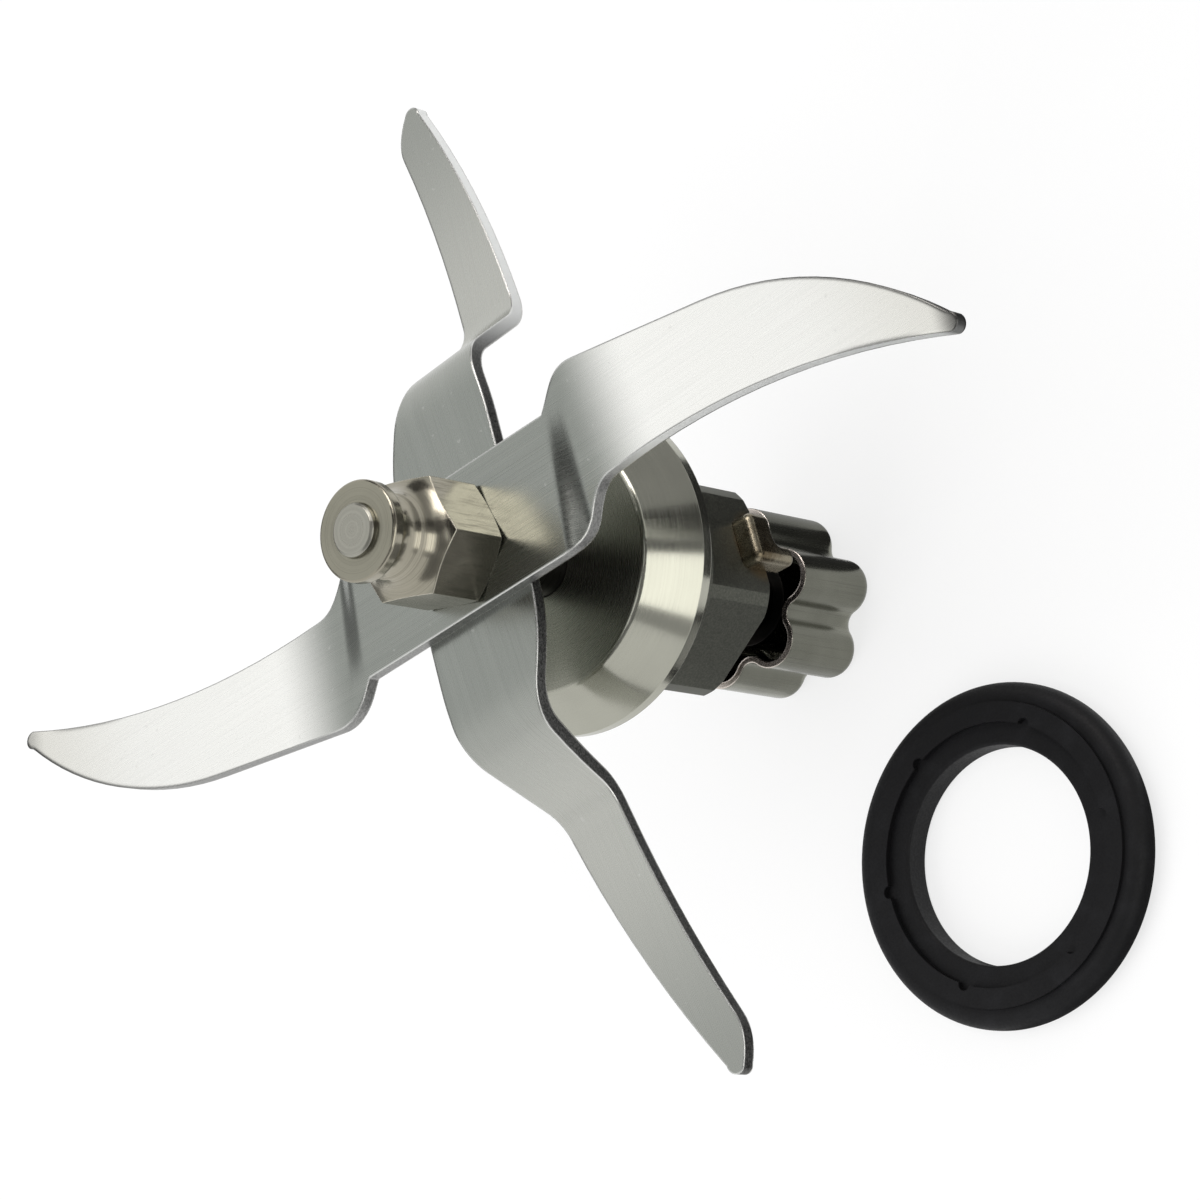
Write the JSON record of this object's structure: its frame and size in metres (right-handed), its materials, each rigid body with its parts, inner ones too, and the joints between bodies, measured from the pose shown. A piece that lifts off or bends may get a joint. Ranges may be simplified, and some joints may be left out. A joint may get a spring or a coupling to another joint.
{
  "type": "blender blade assembly",
  "caption": "Crossed blender blades on a shaft in a flanged bearing housing, with a hexagon blade nut, a lobed drive coupling and a loose rubber gasket.",
  "frame": {"origin": "on the shaft's axis, in the rear face of the housing's flange, where the gasket seats", "axes": "+Z along the shaft to the blade nut, +X to a tip of the upper blade"},
  "size_m": [0.13, 0.1142, 0.0727],
  "materials": {
    "blade_steel": "satin sheet, dark sheared edges",
    "nut_nickel": "turned and brushed, warm nickel tone",
    "housing_steel": "turned front, gritty dark collar",
    "lug_steel": "rough, heat tinted at the weld",
    "shaft_steel": "dark ground",
    "coupling_steel": "polished",
    "bearing_steel": "ground and polished",
    "spring_steel": "dark oiled",
    "cage_nylon": "natural nylon",
    "seal_rubber": "matte black",
    "gasket_rubber": "matte black"
  },
  "bodies": {
    "housing": {"bearing_housing": "housing_steel", "locking_lugs": "lug_steel", "shaft_lip_seal": "seal_rubber", "seal_garter_spring": "spring_steel", "upper_bearing_outer_race": "bearing_steel", "lower_bearing_outer_race": "bearing_steel", "upper_bearing_shields": "spring_steel", "lower_bearing_shields": "spring_steel", "bearing_spacer": "shaft_steel", "bore_circlip": "spring_steel", "gasket_ring": "gasket_rubber"},
    "rotor": {"drive_shaft": "shaft_steel", "blade_nut": "nut_nickel", "upper_blade": "blade_steel", "lower_blade": "blade_steel", "upper_bearing_inner_race": "bearing_steel", "lower_bearing_inner_race": "bearing_steel", "inner_spacer": "shaft_steel", "shaft_circlips": "spring_steel", "coupling_cup": "coupling_steel", "coupling_bush": "shaft_steel"},
    "upper_cage": {"upper_bearing_cage": "cage_nylon", "upper_bearing_balls": "bearing_steel"},
    "lower_cage": {"lower_bearing_cage": "cage_nylon", "lower_bearing_balls": "bearing_steel"}
  },
  "joints": [
    {"name": "blade_spin", "type": "hinge", "parent": "housing", "child": "rotor", "pos_m": [0, 0, 0], "axis": [0, 0, 1], "continuous": true},
    {"name": "upper_cage_spin", "type": "hinge", "parent": "housing", "child": "upper_cage", "pos_m": [0, 0, 0], "axis": [0, 0, 1], "continuous": true},
    {"name": "lower_cage_spin", "type": "hinge", "parent": "housing", "child": "lower_cage", "pos_m": [0, 0, 0], "axis": [0, 0, 1], "continuous": true}
  ],
  "couplings": [
    {"joint": "upper_cage_spin", "follows": "blade_spin", "ratio": 0.38462},
    {"joint": "lower_cage_spin", "follows": "blade_spin", "ratio": 0.38462}
  ]
}
